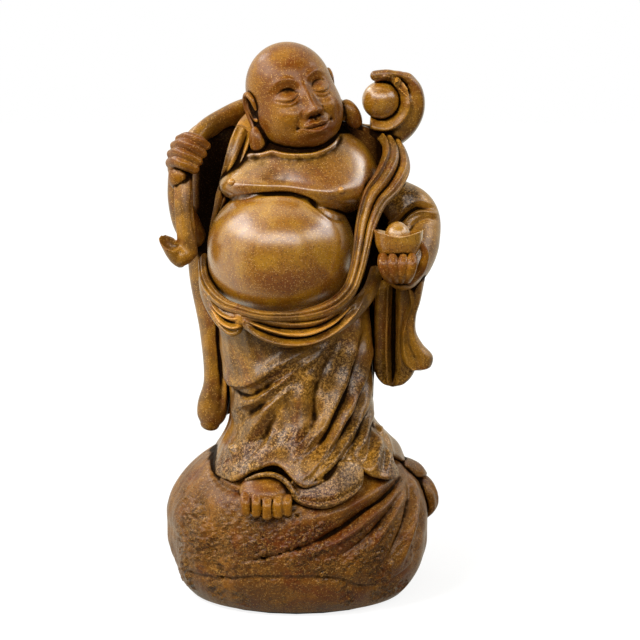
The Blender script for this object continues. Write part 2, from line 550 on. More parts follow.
# degrees round the hem from the right, how far it rises there, and how far it flares
HEM = [
    (-180, 0, 0), (-160, 0, 0), (-134, 0, 0.6), (-126, 0.4, 1.2), (-113, 4.8, 0.4), (-100, 6.4, -0.6),
    (-94, 4.2, 0.4), (-90, 1.6, 1.4), (-87, 0.6, 2), (-80, 1, 2), (-72, 2.6, 1.4), (-60, 5.2, -0.8),
    (-54, 5.4, -1.8), (-46, 1.6, 0.4), (-37, -0.4, 1.8), (-28, -0.2, 1.2), (-20, 3, -1.2), (-13, 4.6, -1.6),
    (-3, 1, 0.4), (20, 0, 0), (180, 0, 0),
]
SKIRT_STROKES = [
    (2, 2, -0.45, [(-28.5, 84), (-26, 80.5), (-22.8, 78.9), (-16.3, 79.9), (-9.6, 84.4), (-2.9, 89),
        (7, 94)]),
    (-1.7, 1.3, 0, [(-27, 79), (-22.6, 76), (-16.3, 75.6), (-13, 77.5), (-6, 82.5), (2, 87.5)]),
    (1.8, 1.9, -0.3, [(-24, 66), (-20, 71), (-14.5, 74), (-8.1, 79.5), (-0.2, 85.8), (8, 90.5)]),
    (-1.2, 1.3, 0, [(-22, 64), (-16, 70), (-9, 75), (-2, 81)]),
    (2.3, 2.2, -0.35, [(-22.5, 54.5), (-17.7, 59.6), (-13.6, 65.3), (-10.9, 69.6), (-8.2, 73.7), (-2, 80)]),
    (-1.4, 1.5, 0, [(-20, 53), (-14.5, 58), (-10.5, 64), (-7.5, 69)]),
    (1.6, 1.3, 0, [(-22.4, 58), (-22.2, 55)]),
    (1.7, 3.4, 0, [(9, 91.7), (3.8, 81.2), (1, 75.4), (1.7, 66.3), (-2.8, 61.3), (-10.8, 58.2), (-19, 54)]),
    (-1.3, 1.6, 0, [(15, 96), (9.5, 86), (6.5, 77), (6, 68), (2, 61)]),
    (2, 1.7, 0.45, [(22.5, 103), (21.2, 97), (19.1, 88.6), (16.5, 80.3), (13.1, 72.7), (9.1, 65.4),
        (1, 56.5)]),
    (-1.5, 1.1, 0, [(24.6, 101), (22.5, 91), (19, 80), (14.5, 70.5), (9.5, 62), (5, 58)]),
    (2, 1.6, 0.4, [(27, 98), (26.2, 91), (24.6, 82.7), (19.8, 73.6), (15.8, 65.7), (11.1, 58.8),
        (4.5, 51.5)]),
    (-1.5, 1.1, 0, [(27, 88), (23.9, 78), (19, 68), (14, 60), (11.5, 57)]),
    (1.9, 1.6, 0.3, [(27.5, 82), (25.9, 76), (23, 69), (19, 62.5), (14, 56), (8, 51)]),
    (-1.3, 1.1, 0, [(27.5, 74), (24.5, 67), (20, 60), (15, 54)]),
    (1.5, 1.6, 0.2, [(27.5, 73), (26, 66), (23.5, 60), (21, 55)]),
    (1.6, 1.6, 0, [(28, 66), (29, 60), (28, 53), (26.5, 50)]),
    (-1.4, 1.2, 0, [(27, 65), (26.3, 58), (24, 53)]),
    (1.5, 1.4, 0, [(29, 62), (32, 56), (34, 51)]),
    (-1.1, 1.2, 0, [(30.2, 60), (31.2, 54), (30.5, 50)]),
    (-1.3, 1.6, 0, [(-26.5, 76), (-24.5, 66), (-24.8, 58), (-23, 54)]),
]
SKIRT_SIDES = 400
CLOTH = 2.6
angles = ring_angles(SKIRT_SIDES, -0.5 * np.pi, 0.42)
degrees = np.mod(np.degrees(angles) + 180, 360) - 180
ripple = np.cos(6 * angles + 0.5) * smooth_step(0.1, 0.5, np.sin(angles))
hem_places, *hem_shape = np.array(HEM, float).T
rise, hem_flare = through(hem_places, np.stack(hem_shape, 1), degrees).T
hem = WAIST - 56 + rise + ripple


def bell(level, inset):
    """Rings of the lower robe at the given levels: ovals between stations, with folds behind, that
    flare out near the hem where it hangs low and draw in where it arches up."""
    sizes = through(SKIRT_LEVELS, SKIRT_SIZES, level)
    around = oval(angles, [sizes[..., k] for k in range(4)])
    fall = smooth_step(WAIST, WAIST - 30, level) * smooth_step(-0.1, 0.5, np.sin(angles))
    pleats = 1.8 * fall * np.cos(6 * angles + 0.3) + 0.35 * fall * np.cos(12 * angles + 0.6)
    flare = hem_flare * smooth_step(14, 2, level - hem)
    radius = around + pleats + flare - inset
    return round_axis(radius, angles, level, SKIRT_Y)


down = np.linspace(0, 1, 215)[:, None]
outside = bell(WAIST + (hem - WAIST) * down, 0.0)
rolled = np.linspace(0, np.pi, 9)[1:-1, None]
rim = bell(hem - 0.45 * CLOTH * np.sin(rolled), 0.5 * CLOTH * (1 - np.cos(rolled)))
up = np.linspace(0, 1, 12)[:, None]
inside = bell(hem + (SACK_TOP + 0.3 - hem) * up, CLOTH)
points, faces = skin(np.concatenate([outside, rim, inside]))
# only the outside and the rim are carved; the rest lies over the sack
shown = (np.arange(len(points)) < (len(outside) + len(rim)) * SKIRT_SIDES)[:, None]
points = np.where(shown, carved(points, faces, SKIRT_STROKES), points)
slack = 0.3 * swell(points, 9, 4)[:, None]
points = points + normals_of(points, faces) * slack * shown
patches = 0.4 + 0.45 * smooth_step(0.15, 0.5, swell(points, 24, 6) + 0.35)
tooled = patches * smooth_step(-8, -20, points[:, 1])
add_casting("skirt", points, faces, waxed_bronze, "antiqued_bronze", tooled=tooled)


# Under-robe. The tongue of a thinner garment that shows below the hem and lies on the sack's brow,
# with its hem running on over the instep. One casting, glued between skirt, foot and sack.
def banded(inner, outer, lift, face, ridges, steps, sides, blunt):
    """Rings of a band of cloth laid between two edge lines. Its section is a flat oval that looks
    the way of the face, raised or sunk across in bells of (place, height, width), where the place
    runs from -1 at the inner edge to 1 at the outer; the bells shrink where the band is narrow."""
    a, b = smooth_line(inner, steps), smooth_line(outer, steps)
    middle, half = (a + b) / 2, (b - a) / 2
    away = face(middle) if callable(face) else np.broadcast_to(np.asarray(face, float), middle.shape)
    ahead = np.gradient(middle, axis=0)
    for along in (ahead, half):
        away = away - along * ((away * along).sum(1) / (along * along).sum(1))[:, None]
    away /= np.linalg.norm(away, axis=1, keepdims=True)
    turn = 2 * np.pi * np.arange(sides) / sides
    across = np.sign(np.cos(turn)) * np.abs(np.cos(turn)) ** 0.75
    high = np.sign(np.sin(turn)) * np.abs(np.sin(turn)) ** 0.75
    raised = sum(h * np.exp(-(((across - place) / width) ** 2)) for place, h, width in ridges)
    room = np.minimum(1, np.linalg.norm(half, axis=1) / 4)[:, None]
    section = high * lift + raised * smooth_step(0, 0.6, high) * room
    from_end = np.minimum(np.arange(steps), np.arange(steps)[::-1])
    ends = np.sin(np.pi / 2 * np.minimum(1, from_end / blunt + 0.03))
    across = half[:, None] * across[:, None]
    return middle[:, None] + ends[:, None, None] * (across + away[:, None] * section[..., None])


upper = [
    (-3, -36, 47.4), (2, -36.4, 50.4), (9, -36, 53.6), (15.6, -33.4, 55), (20.4, -30, 54), (23.4, -28, 51),
]
lower = [
    (-2.6, -40.4, 44.6), (1, -41.6, 41.8), (8.7, -42.2, 40), (15.4, -40.4, 41.3), (20.4, -36.4, 43.8),
    (23.2, -31.6, 47),
]
tongue = skin(banded(upper, lower, 2.0, (0.2, -0.8, 0.6), [(0.9, 0.6, 0.1), (0.74, -0.4, 0.1)], 160, 120, 14))
rolled = [
    (-17, -36, 48.6, 0.8, 0.9), (-12, -38.4, 51, 0.9, 1), (-7.2, -39.4, 51.2, 0.95, 1),
    (-3.4, -40.2, 49, 1, 1), (-1, -41, 46, 1.05, 1), (1.2, -41.6, 43.4, 1.1, 1),
]
points, faces = fused([tongue, skin(carried(rolled, 70, 28, (0, -1, 0.4)))], 0.3, 2)
add_casting("under_robe_hem", points, faces, waxed_bronze, "antiqued_bronze", tooled=0.8)


# Right foot. Bare, cast by itself, and glued under the hem so that its toes lie side by side over
# the sack's brow. Wax was left on the instep, and the toes were wiped clean.
FLOOR = WAIST - 60.5
TOES = [(-17.2, 1.85, 0.5), (-13.6, 1.8, 0.4), (-9.8, 2, -0.3), (-6.1, 1.85, 0), (-2.9, 1.6, 0.3)]


def turned(angles):
    """The three turning matrices about X, Y and Z by the given angles."""
    (cx, cy, cz), (sx, sy, sz) = np.cos(angles), np.sin(angles)
    tilt = np.array([[1, 0, 0], [0, cx, -sx], [0, sx, cx]])
    lean = np.array([[cy, 0, sy], [0, 1, 0], [-sy, 0, cy]])
    return tilt, lean, np.array([[cz, -sz, 0], [sz, cz, 0], [0, 0, 1]])


def ball(centre, sizes, turn=(0, 0, 0), sides=48):
    """An ellipsoid as rings from pole to pole, turned about X, then Y, then Z."""
    polar = np.linspace(0.02, np.pi - 0.02, sides // 2)[:, None]
    around = 2 * np.pi * np.arange(sides) / sides
    rings = round_axis(np.sin(polar), around, np.cos(polar) + 0 * around)
    tilt, lean, spin = turned(turn)
    return skin((rings * np.array(sizes)) @ (spin @ lean @ tilt).T + np.array(centre))


def digit(stops, thick=1.0):
    """A finger: a limb through stops of x, y, z, radius, whose other radius is thick times that."""
    rows = [(x, y, z, r, r * thick) for x, y, z, r in stops]
    return skin(carried(rows, 28, 24, (0.02, -0.6, 0.8), ends=6))


toes = []
for x, size, rise in TOES:
    bow = 2.4 * np.sin(np.pi * (x + 20) / 20)
    stops = [
        (x - 0.2 * (x + 10), -36.0 - bow, FLOOR + 1.2, size * 0.9, size * 0.8),
        (x, -39.6 - bow, FLOOR + 0.2 + rise, size, size * 0.9),
        (x, -41.8 - bow, FLOOR - 1.8 + rise, size * 1.02, size * 0.95),
        (x, -41.9 - bow, FLOOR - 5.0 + rise, size * 0.9, size * 0.9),
    ]
    toes.append(skin(carried(stops, 34, 32, (0.02, -0.6, 0.8), 2.5, ends=8)))
instep = ball((-10, -36.2, FLOOR + 1.6), (9.6, 8.2, 5.4), (0.3, 0, 0))
points, faces = fused([instep, *toes], 0.24, 1)
gaps = [(-0.6, 0.22, 0.0, [(x, 44.0), (x, 41), (x, 37)]) for x in (-15.4, -11.7, -8.0, -4.5)]
points = carved(points, faces, gaps)
caked = 0.3 * smooth_step(FLOOR + 0.6, FLOOR + 2.4, points[:, 2]) - 0.06
add_casting("foot", points, faces, wiped_bronze, "polished_bronze", caked)


# Torso. The bare chest and great belly, buffed brighter than the cloth: soft chest lumps melt into
# each other, hang over the belly in a crease, and rise to a rim under the chin. It stands in the
# skirt by a round peg.
BODY_X, BODY_Y = -3.0, 1.0
BELLY = (-5.5, -8, WAIST + 22.5, 26, 27.5, 22.5)
HIPS = (-2, 0, WAIST, 23, 19, 30)
CHEST = [(2, -1, WAIST + 46, 28, 19, 15), (3, 0, WAIST + 56, 21, 14, 9)]
BREASTS = [(-2.31, WAIST + 43.6, 7.4, 0.5, 6.6), (-0.96, WAIST + 41.5, 5.6, 0.5, 7.4)]


def reach(lump, origin, way):
    """How far rays run from their origins before they leave an ellipsoid, or 0 where they miss."""
    centre, size = np.array(lump[:3], float), np.array(lump[3:], float)
    step, start = way / size, (origin - centre) / size
    half, length = (start * step).sum(-1), (step * step).sum(-1)
    root = half**2 - length * ((start * start).sum(-1) - 1)
    return np.where(root > 0, np.maximum(0, (np.sqrt(np.maximum(root, 0)) - half) / length), 0)


def soft_max(reaches, blend):
    """The farthest of several reaches, rounded over by the blend where two are near."""
    stack = np.stack(reaches)
    far = stack.max(0)
    return far + blend * np.log(np.exp((stack - far) / blend).sum(0))


angles = ring_angles(330, -0.5 * np.pi, 0.45)
levels = np.linspace(WAIST + 0.3, WAIST + 62, 280)
way = np.stack([np.cos(angles), np.sin(angles), 0 * angles], -1)[None]
origin = np.stack([0 * levels + BODY_X, 0 * levels + BODY_Y, levels], -1)[:, None]
chest = soft_max([reach(lump, origin, way) for lump in CHEST], 3.2)
for turn, level, full, wide, tall in BREASTS:
    off = np.mod(angles - turn + np.pi, 2 * np.pi) - np.pi
    chest = chest + full * np.exp(-((off / wide) ** 2) - ((levels[:, None] - level) / tall) ** 2)
# the belly is a rounded box rather than a ball below its middle, where it rests on the border
rise = (levels[:, None] - BELLY[2]) / BELLY[5]
slump = np.where(rise < 0, 2.7, 2.0)
boxed, round_one = 1 - np.abs(rise) ** slump, 1 - rise**2
girth = np.maximum(1e-6, boxed) ** (1 / slump) / np.sqrt(np.maximum(1e-6, round_one))
gut = reach(BELLY, origin, way)
gut = soft_max([gut * np.where(gut > 0, girth, 1), reach(HIPS, origin, way)], 1.5)
radius = np.maximum(3, soft_max([chest, gut], 0.4))
points, faces = skin(origin + way * radius[..., None])
TORSO_STROKES = [
    (-1.3, 0.65, 0, [(-27, 141.5), (-25.3, 142.7), (-21.5, 144.5), (-17.4, 145.4), (-13.4, 146.1),
        (-9.4, 146.4), (-5.5, 146.6), (-1.5, 146.4), (1.4, 145.6), (4.4, 144.5), (7.3, 142.4), (10.4, 139.9),
        (13.5, 137.9), (18.5, 136.4)]),
    (0.5, 0.6, 0, [(-25, 141.4), (-21.5, 143.2), (-13.4, 144.9), (-5.5, 145.4), (1, 144.4), (6.5, 141.2),
        (12.5, 136.7)]),
    (0.7, 1.4, 0, [(-24, 149.6), (-18.3, 149.8), (-10.8, 149.1), (-2.1, 148.6), (5.7, 147.6), (13, 146.8)]),
    (1.3, 0.75, 0, [(-18, 158.6), (-15.3, 159.2), (-11.9, 159.3), (-8.3, 160.2), (-5.2, 159.6), (-1.5, 159.2),
        (2.4, 159.2), (6.4, 159.6), (10, 160.9), (13.1, 162.9), (15.4, 166.5)]),
]
points = carved(points, faces, TORSO_STROKES)
# two small beads stand on the chest
beads = []
for x, z, size in ((-22.4, 150.4, 1.4), (15.6, 147.9, 1.2)):
    away = np.hypot(points[:, 0] - x, points[:, 2] - z) + 99 * (points[:, 1] > 0)
    beads.append(ball(points[away.argmin()] + (0, -0.2, 0), (size, size, size), sides=32))
points, faces = joined((points, faces), *beads)
# the wax was left thicker over the chest and wiped off just under its fold
level = points[:, 2]
caked = 0.17 * smooth_step(WAIST + 40, WAIST + 50, level) - 0.34 * np.exp(-(((level - WAIST - 40) / 4) ** 2))
under_belly = 0.9 * patch(points, (-3, -36, WAIST + 13.5), (15, 14, 6))
reddened = under_belly + 0.6 * patch(points, (2, -22, WAIST + 49), (18, 16, 6))
add_casting("torso", points, faces, buffed_bronze, "polished_bronze", caked, reddened=reddened)


# Head. Shaven, tilted towards the sceptre, with long ear lobes; the face is a plain calm one with
# lowered lids and closed lips, finished as finely as the rest. It sits on a peg in the torso.
HEAD_SEAT = np.array([-0.8, -5, WAIST + 74.2])
HEAD_TURN = (-0.06, -0.28, 0.34)
SKULL = [(0, 2, 4.6, 15, 16, 16), (0, -1.5, -5.5, 15.3, 13.8, 14)]
FACE_STROKES = [
    (-0.62, 0.34, 0, [(2.9, 0.7), (4.2, -0.2), (6.3, -0.8), (8.4, -0.4), (10.2, 0.9)]),
    (0.3, 0.5, 0, [(3.4, -0.6), (6.3, -1.8), (9.4, -0.8)]),
    (-0.3, 0.4, 0, [(2.9, 1.9), (4.6, 3.5), (6.6, 3.9), (8.8, 3.1), (10.3, 1.5)]),
    (0.55, 1, 0, [(2.2, 5), (4.4, 6.8), (7.2, 7.2), (10.6, 5.4)]),
    (-0.5, 1.1, 0, [(3.9, -6.6), (5.7, -8.4), (6.9, -11.2)]),
    (-0.5, 0.45, 0, [(2.5, -4.8), (4, -5.6), (4.1, -7.2)]),
]
MOUTH_STROKES = [
    (0.8, 0.7, 0, [(-5, -10.7), (-3, -10.4), (-1.2, -10), (0, -10.3), (1.2, -10), (3, -10.4), (5, -10.7)]),
    (1, 0.9, 0, [(-3.9, -12.4), (-2, -13.1), (0, -13.4), (2, -13.1), (3.9, -12.4)]),
    (-0.75, 0.3, 0, [(-5.9, -10.3), (-3.4, -11.3), (-1, -11.6), (0, -11.5), (1, -11.6), (3.4, -11.3),
        (5.9, -10.3)]),
    (-0.35, 0.6, 0, [(0, -8), (0, -9.6)]),
]


def mound(x, z, height, x0, z0, wide, tall):
    """A bell-shaped mound at a place of the face's front view and at its mirror image."""
    return height * np.exp(-(((np.abs(x) - x0) / wide) ** 2)) * np.exp(-(((z - z0) / tall) ** 2))


angles = ring_angles(330, -0.5 * np.pi, 0.5)
polar = np.pi * np.linspace(0.01, 0.99, 260)[:, None]
way = round_axis(np.sin(polar), angles, -np.cos(polar) + 0 * angles)
skull = soft_max([reach(lump, np.zeros(3), way) for lump in SKULL], 1.6)
points, faces = skin(way * skull[..., None])
x, z = points[:, 0], points[:, 2]
fall = np.clip(5 - z, 0, 11)
nose = (0.9 + 0.3 * fall) * smooth_step(-8.2, -6.4, z) * smooth_step(7.5, 1, z)
nose = nose * np.exp(-((x / (1.55 + 0.075 * fall)) ** 2))
nose = nose + mound(x, z, 1.3, 0, -5.6, 2.2, 1.7) + mound(x, z, 1.6, 2.7, -6.2, 1.25, 1.3)
nose = nose - mound(x, z, 0.9, 1.4, -7.8, 0.7, 0.45)
eyes = mound(x, z, -1.9, 5.4, 2.6, 3.4, 2.2) + mound(x, z, 2.3, 6.3, 0.8, 3.1, 2.1)
cheeks = mound(x, z, 1.9, 8.6, -5.4, 4.4, 4.0) + mound(x, z, -0.7, 6.3, -10.4, 0.9, 1.0)
lips = mound(x, z, 0.9, 0, -11.4, 5.6, 3.2)
chin = mound(x, z, -0.7, 0, -15.0, 3.2, 0.9) + mound(x, z, 1.2, 0, -17.2, 3.4, 2.0)
jaw = mound(x, z, 2.8, 0, -14.5, 8.0, 5.5)
lift = nose + eyes + cheeks + lips + chin + jaw + mound(x, z, 0.5, 0, 12, 9, 5)
mirrored = np.stack([np.abs(x), z], 1)
lift = lift + relief(mirrored, FACE_STROKES) + relief(points[:, [0, 2]], MOUTH_STROKES)
points[:, 1] -= lift * smooth_step(0, -8, points[:, 1])


def ear(side, splay):
    """An ear: a rim carried round a shallow bowl, and a long full lobe that is pushed outwards."""
    x = side * (14.7 - 0.3 * splay)
    rim = [
        (x + side * 0.3, -2.4, 0.6, 0.8, 0.9),
        (x + side * 0.9, -2.2, 4.2, 0.9, 1.0),
        (x + side * 1.3, 0.4, 6.4, 1.0, 1.1),
        (x + side * 1.6, 3.4, 4.6, 1.1, 1.1),
        (x + side * 1.6, 4.2, 0.4, 1.1, 1.1),
        (x + side * (1.4 + 0.3 * splay), 2.8, -4.2, 1.3, 1.2),
        (x + side * (1.4 + 0.7 * splay), 1.2, -7.6, 1.8, 1.8),
    ]
    helix = skin(carried(rim, 70, 24, (side, 0, 0.1)))
    inner = [
        (x + side * 0.8, 1.8, 4.4, 0.7, 0.7),
        (x + side * 1.1, 2.6, 1.6, 0.8, 0.8),
        (x + side * 1.0, 1.0, -2.4, 0.9, 0.8),
        (x + side * 0.9, -1.4, -3.2, 0.9, 0.9),
    ]
    fold = skin(carried(inner, 40, 20, (side, 0, 0.1)))
    bowl = ball((x - side * 0.3, 0.8, 0.8), (1.2, 3.6, 6.0))
    tips_out = (0.12, -0.09 * side * splay, 0)
    lobe = ball((x + side * (1.9 + 1.2 * splay), 0.6, -11.0), (3.2, 3.3, 6.0), tips_out)
    root = ball((x + side * 0.5 * splay, 0.4, -8.4), (2.4, 2.6, 4.0))
    return fused([helix, fold, bowl, lobe, root], 0.3, 2)


tilt, lean, spin = turned(HEAD_TURN)
points, faces = joined((points, faces), ear(-1, 0.4), ear(1, 2.6))
points = points @ (lean @ spin @ tilt).T + HEAD_SEAT
add_casting("head", points, faces, wiped_bronze, "polished_bronze", 0.04)


# Borders of the robe. Folded bands of cloth with sharp edges: the left one falls from the shoulder
# and is drawn thin under the belly, the right one comes from behind the neck inside the raised arm.
# Two castings, glued to the torso.
def from_body(middle):
    """The way out from the body's upright axis."""
    away = middle - np.array([BODY_X, BODY_Y, 0])
    away[:, 2] = 0
    return away


inner = [
    (25, 4, 166.5), (29.4, -2, 164.4), (30.6, -8, 160.6), (28, -12.6, 154), (23.4, -16.4, 147),
    (20.8, -20, 137), (19.7, -23.4, 128), (18.6, -25.4, 121.6), (16.4, -27.8, 115.4), (11.8, -30.8, 111),
    (4.8, -33.2, 108.2), (-2.2, -34, 107), (-11.3, -33, 107.2), (-18.1, -30, 108.8), (-23.4, -26.4, 110.4),
    (-28, -20.4, 113.6), (-30.8, -12, 118), (-31.6, -2, 125),
]
outer = [
    (33, 6, 164.4), (37.4, 0, 160.6), (39.4, -6, 152.6), (36, -12, 146.4), (31, -17.6, 141.4),
    (27.2, -22, 133.6), (25.2, -25, 126), (23.4, -27.2, 119.4), (20, -30, 112), (14.4, -33, 107.2),
    (6.6, -35.2, 104.8), (-2.2, -35.8, 104), (-11.3, -34.6, 104.2), (-18.5, -31.6, 105.4),
    (-25, -27.4, 106.8), (-30.4, -21, 110.4), (-33.2, -12.4, 115), (-34, -2, 122),
]
folds = [
    (-0.9, 1, 0.1), (-0.66, -0.9, 0.12), (-0.3, 0.7, 0.26), (0.12, -1.5, 0.11), (0.5, 0.8, 0.24),
    (0.9, 0.5, 0.14),
]
points, faces = skin(banded(inner, outer, 1.9, from_body, folds, 260, 150, 8))
add_casting("left_lapel", points, faces, waxed_bronze, "antiqued_bronze")

inner = [
    (-12, 6, 170.6), (-14.6, -2, 167.6), (-16.4, -7.4, 162), (-18.6, -10.6, 156), (-21, -10.6, 151),
    (-23.4, -6.6, 145.6), (-25.8, -2, 139), (-28.6, 0.6, 131), (-30.2, 1.4, 123),
]
outer = [
    (-17.4, 7, 173.4), (-20.8, -2, 169.6), (-23.4, -7.6, 163.8), (-25, -9.6, 157.4), (-26.4, -8, 150.4),
    (-28.2, -4, 144.4), (-29.4, 0, 138), (-31, 1.6, 130.6), (-31.6, 2.2, 122.6),
]
folds = [(-0.85, 1, 0.2), (-0.4, -1.1, 0.16), (0.1, 0.9, 0.26), (0.86, 0.7, 0.2)]
points, faces = skin(banded(inner, outer, 1.8, from_body, folds, 130, 110, 8))
add_casting("right_lapel", points, faces, waxed_bronze, "antiqued_bronze")


# Waist sash. Cloth of the robe drawn up under the belly: swags fan out from a knot at the right hip,
# and a loop of the same cloth hangs from the border to that knot. Two castings, their folds cut
# into the model with a thin gouge.
KNOT = (-19.0, -30.2, WAIST + 0.6)
upper = [
    (27.6, -15, 122), (24.6, -22, 114.4), (18.4, -27.6, 109.2), (10, -32, 106), (1, -33.8, 104.6),
    (-8, -33.4, 104.4), (-14.4, -31.8, 105.2), (-19.4, -29.4, 106.4),
]
lower = [
    (29, -15, 115), (25, -20.4, 108), (20, -25.2, 102.8), (12.8, -30, 98.4), (4.4, -32.6, 95.6),
    (-4.4, -33, 94.8), (-12, -32, 97.4), (-18, -30, 101.4),
]
swags = skin(banded(upper, lower, 2.2, from_body, (), 300, 170, 8))
knot = ball(KNOT, (2.4, 2.2, 2.9))
folds = [
    (1, 0.55, 0, [(-18, 104.9), (-14, 104.4), (-8, 103.6), (0.1, 103), (9.2, 104.3), (15, 107.5), (21, 113)]),
    (-1.6, 0.65, 0, [(-17, 104.2), (-12.5, 103.2), (-7, 101.9), (0, 101.4), (7.6, 102.2), (14.4, 105.6),
        (20, 111)]),
    (1.3, 0.55, 0, [(-17.4, 104), (-13.4, 102.7), (-9, 101.2), (-2.2, 99.7), (4.7, 99.8), (12.6, 102.9),
        (18.4, 107.6)]),
    (-1.7, 0.65, 0, [(-17, 103), (-13, 100.9), (-8.4, 99.2), (-2.2, 98), (5.5, 98.4), (13.4, 102),
        (19.6, 107.4)]),
    (1.5, 0.7, 0, [(-17.6, 103.4), (-14, 99.9), (-8.4, 97.4), (-2.2, 96.4), (6.4, 97.2), (14.6, 101.2),
        (21, 107), (24, 112)]),
]
points, faces = joined(swags, knot)
points = carved(points, faces, folds)
add_casting("waist_sash", points, faces, waxed_bronze, "antiqued_bronze")

upper = [
    (-32.6, -6, 119), (-31.6, -13.6, 114.4), (-29, -20, 110.6), (-25.4, -24.8, 108.4), (-21.2, -28.6, 106.8),
    (-18.6, -30.4, 105.4),
]
lower = [
    (-33, -6, 112.4), (-31.4, -14.6, 107.6), (-29, -20.6, 103.6), (-25.8, -25, 99.8), (-22, -28.4, 97.6),
    (-18.2, -30.4, 99.8),
]
points, faces = skin(banded(upper, lower, 2.2, from_body, (), 150, 120, 8))
folds = [
    (1.1, 0.6, 0, [(-32, 114), (-29.6, 108.6), (-26, 105.4), (-22, 104.2), (-18.6, 104.6)]),
    (-1.7, 0.6, 0, [(-31.6, 112), (-29, 106.8), (-25.4, 103.8), (-21.6, 102.8), (-18.2, 103.6)]),
    (1.2, 0.55, 0, [(-31, 110), (-28.4, 105), (-25, 102.2), (-21.8, 101.2), (-18.4, 102)]),
    (-1.5, 0.55, 0, [(-29.6, 106), (-26.4, 101.8), (-22.6, 99.7), (-18.8, 100.8)]),
]
points = carved(points, faces, folds)
add_casting("sash_loop", points, faces, waxed_bronze, "antiqued_bronze")


# Ruyi sceptre. One casting: a roof-shaped shaft from below the fist, over the shoulder and behind
# the neck, a curled leaf at its head that wraps round a pearl, and a cupped scroll at its tail. It
# is glued into the fist and to the shoulders.
PEARL = np.array([29.9, 1.5, WAIST + 73.4])


def from_neck(middle):
    """The way out from the neck, a little upwards."""
    away = middle - np.array([HEAD_SEAT[0], 6, 0])
    away[:, 2] = 0.1
    return away


def roofed(turn, along):
    """A section with a ridge down the middle of its face, like a low roof."""
    return 1 + 0.25 * np.exp(-((np.mod(turn - np.pi / 2 + np.pi, 2 * np.pi) - np.pi) ** 2) / 0.1)


shaft = [
    (-37.8, -12.5, 21, 3.3, 3), (-38.6, -12, 28, 3.4, 3), (-39.4, -10.5, 40, 3.2, 3), (-39, -7, 52, 3, 3),
    (-35, -2, 61, 3.7, 3), (-27, 5, 66, 4.6, 3), (-15, 13, 70, 4.6, 3), (0, 18.5, 68, 4.6, 3),
    (14, 16.5, 63, 4.6, 3), (26, 11, 60, 4.6, 3), (34, 8.5, 62, 4.1, 3),
]
shaft = skin(carried(placed(ABOVE_WAIST, shaft), 200, 48, from_neck, 2.4, roofed))
x, y, z = PEARL
hugging = np.radians([112, 84, 52, 20, -12, -44, -76, -108, -132])
inner = [(x + 7.3 * np.cos(a), y - 3.6 + 1.4 * k / 8, z + 7.3 * np.sin(a)) for k, a in enumerate(hugging)]
outer = [
    (-1.6, -0.4, 9.6), (6.6, 0.6, 10), (12, 2, 7), (14.2, 3, 2.2), (14.2, 4, -4), (11.8, 5, -9.6),
    (8.2, 6, -13.6), (3.6, 7, -16.4), (-3.4, 8, -16.6),
]
hollows = [(-0.86, 1, 0.13), (-0.45, -1.3, 0.24), (0.35, 0.5, 0.3)]
leaf = skin(banded(inner, placed(PEARL, outer), 3.9, (0.1, -1, 0), hollows, 150, 110, 9))
lip = [
    (-2.2, -2.6, 8.9, 1.9, 2), (2.2, -3.6, 9.4, 1.8, 1.8), (6.2, -3.2, 8.9, 1.5, 1.6),
    (9.2, -1.4, 8.2, 1.8, 2), (11.4, 0.6, 6.2, 1.8, 2.2),
]
lip = skin(carried(placed(PEARL, lip), 60, 32, (0, -1, 0)))
curl = ball(PEARL + (9.4, -2, 8), (2, 2, 1.9))
scroll = [(-38.4, -12.5, 25, 3, 3), (-38.9, -13, 20.6, 3.4, 3.3), (-41, -13.8, 19.6, 3.6, 3.6)]
scroll = skin(carried(placed(ABOVE_WAIST, scroll), 60, 40, (0, -1, 0)))
# the cup at the tail: an oval bowl, its wall turned over at the rim and hollow inside
CUP = np.array([-44.2, -16, 128.6])
CUP_LONG, CUP_SHORT, CUP_UP = np.array([(0.86, 0.1, -0.48), (0.15, 0.86, 0.45), (-0.3, -0.36, 0.88)])
turn = np.linspace(0, 2 * np.pi, 64, endpoint=False)[:, None]
wall = [
    (0.05, -9), (0.5, -8.7), (0.78, -7.2), (0.93, -5), (1, -2.4), (1.04, -0.2), (0.98, 0.5), (0.88, 0.3),
    (0.82, -0.6), (0.72, -2), (0.5, -3.2), (0.25, -3.7), (0.04, -3.8),
]
size, rise = np.array(wall).T[..., None, None]
around = 4.2 * np.cos(turn) * CUP_LONG + 3.8 * np.sin(turn) * CUP_SHORT
cup = skin(CUP + size * around + rise * CUP_UP)
points, faces = fused([shaft, leaf, lip, curl, scroll, cup], 0.36, 2)
folds = [
    (-2.4, 1.3, 0, [(32.4, 184.8), (36, 184.2), (38.6, 182), (39.6, 178.4)]),
    (-0.9, 0.5, 0, [(-35.6, 132), (-36.4, 140), (-36, 150)]),
]
points = carved(points, faces, folds)
add_casting("ruyi", points, faces, waxed_bronze, "antiqued_bronze")


# Pearl. A ball of the same resin, cast by itself, buffed to a gloss and glued into the leaf of the
# sceptre, which holds it all round but in front.
points, faces = ball(PEARL + (0, 0, 0.2), (6.75, 6.75, 6.75), sides=96)
add_casting("ruyi_pearl", points, faces, buffed_bronze, "polished_bronze")


